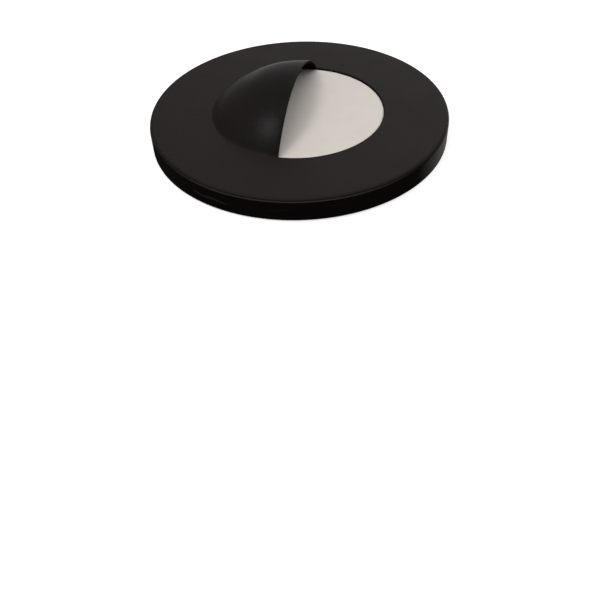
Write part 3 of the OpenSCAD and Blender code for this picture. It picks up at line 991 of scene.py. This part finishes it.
def led_package():
    finish = Finish("led_package_look")
    height = finish.parts(finish.place)[2]
    away = finish.size_of(finish.along_ring(LED_FIRST, LEDS))
    in_front = finish.spread(finish.radius(), WINDOW_R, WINDOW_R + 0.05 * MM, 1.0, 0.0)
    window = in_front * finish.near(away, 0, WINDOW_REACH, 0.04 * MM)
    window = window * finish.near(height, WINDOW_MIDDLE, WINDOW_HALF, 0.03 * MM)
    ends = away > ENDS_FROM
    gel = finish.noise(0.2 * MM, detail=2)
    phosphor = finish.blend(gel, (0.80, 0.60, 0.10, 1), (0.88, 0.70, 0.18, 1))
    body = finish.blend(ends, (0.84, 0.83, 0.80, 1), (0.66, 0.65, 0.62, 1))
    return finish.surface(Base_Color=finish.blend(window, body, phosphor), Metallic=ends * 0.9,
                          Roughness=0.4 - ends * 0.12 - window * 0.2 + gel * 0.05,
                          Normal=finish.bump(gel - window * 0.8, 0.02 * MM, 0.5))


print("LED window in mm:", 2 * WINDOW_REACH / MM, "by", 2 * WINDOW_HALF / MM)

# %% [markdown]
# Chip parts are small blocks with tinned ends. The resistors have a black glass face on white ceramic,
# the diode is a black moulding with one pale band at its marked end, and the capacitor is brown ceramic,
# with its sides painted a little darker than its top as shade.
# One function makes them all: it turns the place so that the part lies along one axis.

# %% Chip parts
def chip(name, centre, turn, half_length, cap, face, side, band=0.0):
    """A block at `centre` along the direction `turn`, with tinned caps and maybe a band."""
    finish = Finish(name)
    x, y, height = finish.parts(finish.place)
    along = (x - centre.x) * math.cos(turn) + (y - centre.y) * math.sin(turn)
    capped = finish.size_of(along) > half_length - cap
    speck = finish.noise(0.12 * MM, detail=2)
    skin = finish.blend(height > centre.z, side, face)
    if band:
        banded = finish.near(along, half_length - cap - band, band / 2, 0.02 * MM)
        skin = finish.blend(banded, skin, (0.55, 0.55, 0.53, 1))
    skin = finish.blend(speck * 0.25, skin, grey(0.3))
    return finish.surface(Base_Color=finish.blend(capped, skin, (0.64, 0.63, 0.61, 1)),
                          Metallic=capped * 0.9, Roughness=speck * 0.15 + 0.35,
                          Normal=finish.bump(speck, 0.01 * MM, 0.5))


print("written:", chip.__name__)

# %% [markdown]
# The inlet socket is an ivory nylon moulding, a little yellowed and glossier where the mould was
# polished. Its pins are tinned brass that shows yellow on the sheared tips, the magnets are nickel plated
# with fine scratches from the steel that they hold, and the screws are zinc plated and turned bluish.

# %% Socket, pins, magnets and screws
PIN_TIP_R = 32.35 * MM
MAGNET_RUB, MAGNET_TOP = 5.3 * MM, 5.38 * MM


def ivory_moulding():
    finish = Finish("ivory_moulding_look")
    cloud = finish.noise(2.5 * MM, detail=3)
    grain = finish.noise(0.1 * MM, detail=2)
    tone = finish.blend(cloud, (0.80, 0.755, 0.63, 1), (0.83, 0.79, 0.68, 1))
    return finish.surface(Base_Color=tone, Roughness=finish.spread(cloud, 0.3, 0.7, 0.32, 0.45),
                          Normal=finish.bump(grain, 0.006 * MM, 0.5))


def metal(name, tone, worn_tone, rough, worn):
    """Plated metal with fine scratches. `worn` is a wire: 1 where the plating is cut, rubbed or stained.
    """
    finish = Finish(name)
    scratch = finish.noise(0.5 * MM, detail=4, rough=0.75, where=finish.squeezed(0.35, 0.04))
    cloud = finish.noise(1.5 * MM, detail=2)
    bare = worn(finish)
    return finish.surface(Base_Color=finish.blend(bare, tone, worn_tone), Metallic=0.95,
                          Roughness=finish.spread(cloud, 0.3, 0.7, rough, rough + 0.1) + bare * 0.1,
                          Normal=finish.bump(scratch, 0.006 * MM, 0.4))


def pin_tips(finish):
    return finish.spread(finish.radius(), PIN_TIP_R, PIN_TIP_R + 0.1 * MM)


def rubbed_tops(finish):
    top = finish.spread(finish.parts(finish.place)[2], MAGNET_RUB, MAGNET_TOP)
    return top * finish.spread(finish.noise(0.8 * MM, 4), 0.45, 0.6)


# Random patches where the zinc plating is stained yellower.
def zinc_stains(finish):
    return finish.spread(finish.noise(0.6 * MM, 2), 0.5, 0.7)


print("written:", ivory_moulding.__name__, metal.__name__)

# %% [markdown]
# ## The socket and its pins
# The socket is a small box, open to the back, modelled from a cube: its back face is inset and pushed
# in, its inner corners are rounded, and two channels for the pins are cut through the roof.

# %% Socket
shell_low, shell_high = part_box("socket_shell")
SHELL_WALL, SHELL_ROOF = 0.7 * MM, 0.8 * MM
SHELL_CORNER_R, SHELL_EDGE = 0.35 * MM, 0.08 * MM
PIN_ROOM = 0.27 * MM
RUN_Z = shell_high.z - SHELL_ROOF / 2
roof_under = shell_high.z - SHELL_ROOF

block(shell_low.x, shell_high.x, shell_low.y, shell_high.y, shell_low.z, shell_high.z)
shell = begin("ivory_socket_shell")
pick("FACE", lambda at: abs(at.z - shell_low.z) < TINY)
bpy.ops.mesh.inset(thickness=SHELL_WALL)
bpy.ops.mesh.extrude_region_move(
    TRANSFORM_OT_translate={"value": (0, 0, roof_under - shell_low.z)})
break_edges(lambda at: shell_low.z + TINY < at.z < roof_under - TINY, SHELL_CORNER_R, 4)
bpy.ops.object.mode_set(mode="OBJECT")
pin_boxes = [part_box("socket_pin_1"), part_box("socket_pin_2")]
for low, high in pin_boxes:
    pin_y = (low.y + high.y) / 2
    sides = pin_y - PIN_ROOM, pin_y + PIN_ROOM
    upright = block(SOCKET_X - PIN_ROOM, SOCKET_X + PIN_ROOM, *sides, low.z, RUN_Z + PIN_ROOM)
    combine(shell, "DIFFERENCE", upright)
    flat_run = block(SOCKET_X - PIN_ROOM, high.x, *sides, RUN_Z - PIN_ROOM, RUN_Z + PIN_ROOM)
    combine(shell, "DIFFERENCE", flat_run)
bpy.ops.object.mode_set(mode="EDIT")
break_edges(lambda at: at.z < shell_low.z + TINY or at.z > shell_high.z - TINY, SHELL_EDGE)
leave(shell)
use_modifier(shell, "WEIGHTED_NORMAL", keep_sharp=True)
shell.data.materials.append(ivory_moulding())
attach(shell, "body")
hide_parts("socket_shell")

# %% [markdown]
# A pin is square wire: a short block whose upper face is spun round two bends and pulled down to the
# board, and whose lower end is drawn in to a blunt point, so that a plug slides over it.

# %% Pins
PIN_HALF, PIN_BEND_R, PIN_POINT = 0.25 * MM, 0.3 * MM, 0.35 * MM
TIN, BRASS = (0.72, 0.70, 0.66, 1), (0.72, 0.52, 0.25, 1)
QUARTER = math.radians(-90)

pin_finish = metal("tinned_brass_look", TIN, BRASS, 0.22, pin_tips)
for number, (low, high) in enumerate(pin_boxes, 1):
    pin_y, pad_x = (low.y + high.y) / 2, high.x - PIN_HALF
    turn_z = RUN_Z - PIN_BEND_R
    block(SOCKET_X - PIN_HALF, SOCKET_X + PIN_HALF, pin_y - PIN_HALF, pin_y + PIN_HALF,
          low.z + PIN_POINT, turn_z)
    pin = begin(f"bent_pin_{number}")
    pick("FACE", lambda at: abs(at.z - turn_z) < TINY)
    bpy.ops.mesh.spin(steps=4, angle=QUARTER, axis=(0, 1, 0),
                      center=(SOCKET_X + PIN_BEND_R, pin_y, turn_z))
    bpy.ops.mesh.extrude_region_move(
        TRANSFORM_OT_translate={"value": (pad_x - SOCKET_X - 2 * PIN_BEND_R, 0, 0)})
    bpy.ops.mesh.spin(steps=4, angle=QUARTER, axis=(0, 1, 0),
                      center=(pad_x - PIN_BEND_R, pin_y, turn_z))
    bpy.ops.mesh.extrude_region_move(TRANSFORM_OT_translate={"value": (0, 0, BOARD_TOP - turn_z)})
    pick("FACE", lambda at: abs(at.z - low.z - PIN_POINT) < TINY)
    bpy.ops.mesh.extrude_region_move(TRANSFORM_OT_translate={"value": (0, 0, -PIN_POINT)})
    bpy.ops.transform.resize(value=(0.5, 0.5, 1), center_override=(SOCKET_X, pin_y, low.z))
    face_outwards()
    leave(pin, smooth=30)
    pin.data.materials.append(pin_finish)
    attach(pin, "body")
    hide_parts(f"socket_pin_{number}")

# %% [markdown]
# ## Finishes onto pieces
# Every piece of the construction model that has not been replaced takes the finish of its own slot. The
# chip parts each need their own place, which is read from the piece's box.

# %% Assign the finishes
NICKEL, STEEL = (0.66, 0.63, 0.58, 1), (0.52, 0.50, 0.47, 1)
ZINC, STAINED_ZINC = (0.62, 0.65, 0.69, 1), (0.66, 0.65, 0.58, 1)
# The capacitor is one brown; its sides are painted darker than its top as shade.
CAPACITOR_TOP, CAPACITOR_SHADED_SIDE = (0.36, 0.25, 0.16, 1), (0.33, 0.23, 0.15, 1)
FINISHES = {
    "black_moulding": black_moulding, "foam": foam,
    "clear_acrylic": clear_acrylic, "white_film": white_film, "white_board": white_board,
    "grey_tape": grey_tape, "led_package": led_package,
    "nickel_plate": lambda: metal("nickel_plate_look", NICKEL, STEEL, 0.18, rubbed_tops),
    "zinc_screw": lambda: metal("zinc_screw_look", ZINC, STAINED_ZINC, 0.28, zinc_stains),
}
REMADE = ("eyelid_trim", "lens", "base_pan", "socket_shell", "socket_pin_1", "socket_pin_2")
made = {}


def chip_finish(name, low, high):
    centre = (Vector(low) + Vector(high)) / 2
    turn = math.atan2(centre.y, centre.x) + math.pi / 2
    if name.startswith("resistor"):
        shape = 1.0 * MM, 0.3 * MM, grey(0.02), grey(0.78)
    elif name == "input_diode":
        shape = 1.35 * MM, 0.2 * MM, grey(0.02), grey(0.025), 0.35 * MM
    else:
        shape = 1.6 * MM, 0.45 * MM, CAPACITOR_TOP, CAPACITOR_SHADED_SIDE
    return chip(name + "_look", centre, turn, *shape)


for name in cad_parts:
    if name in REMADE:
        continue
    piece = bpy.data.objects[name]
    slot = piece.data.materials[0].name
    if slot in ("black_chip", "ceramic_chip"):
        look = chip_finish(name, *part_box(name))
    else:
        if slot not in made:
            made[slot] = FINISHES[slot]()
        look = made[slot]
    piece.data.materials[0] = look
print("finishes made:", len(made), "for", len(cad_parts), "nodes")
